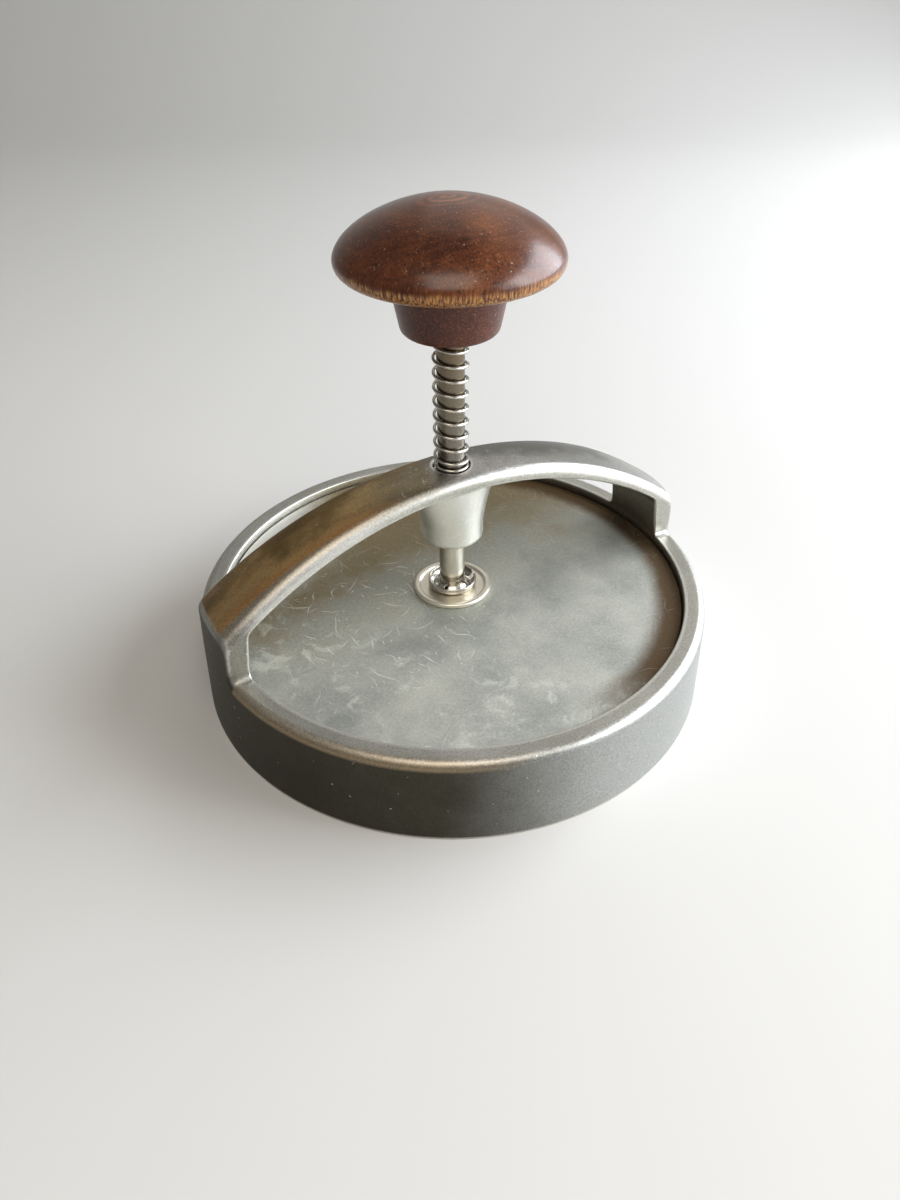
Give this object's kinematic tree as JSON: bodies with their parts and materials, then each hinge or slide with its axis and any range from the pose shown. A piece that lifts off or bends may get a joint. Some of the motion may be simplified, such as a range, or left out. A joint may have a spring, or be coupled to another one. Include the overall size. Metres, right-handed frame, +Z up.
{
  "type": "burger press",
  "caption": "Burger press: cast ring with an arched bridge, a sprung plunger with a round plate inside the ring, and a turned wooden knob.",
  "frame": {"origin": "on the ring's axis, at the table that the ring's foot rests on", "axes": "+Z up along the plunger's axis, +X along the bridge, +Y across it"},
  "size_m": [0.1288, 0.1286, 0.1166],
  "materials": {
    "cast_metal": "satin cast aluminium, worn bright on its edges",
    "plate_metal": "dull machined aluminium with fine scratches",
    "rod_steel": "bright drawn rod",
    "washer_steel": "bright zinc-plated steel",
    "retainer_steel": "dark polished spring steel",
    "spring_wire": "bright spring wire",
    "knob_wood": "red-brown stained hardwood under satin lacquer"
  },
  "bodies": {
    "frame": {"press_body": "cast_metal"},
    "spring": {"return_spring": "spring_wire"},
    "plunger": {"push_rod": "rod_steel", "knob": "knob_wood", "retaining_ring": "retainer_steel", "hub_washer": "washer_steel", "press_plate": "plate_metal"}
  },
  "joints": [
    {"name": "knob_turn", "type": "hinge", "parent": "frame", "child": "spring", "pos_m": [0, 0, 0.05], "axis": [0, 0, 1], "continuous": true},
    {"name": "press_stroke", "type": "slide", "parent": "spring", "child": "plunger", "axis": [0, 0, 1], "range_m": [-0.0177, 0], "stiffness_N_per_m": 480, "springref_m": 0.0035, "deforming": ["return_spring"]}
  ]
}
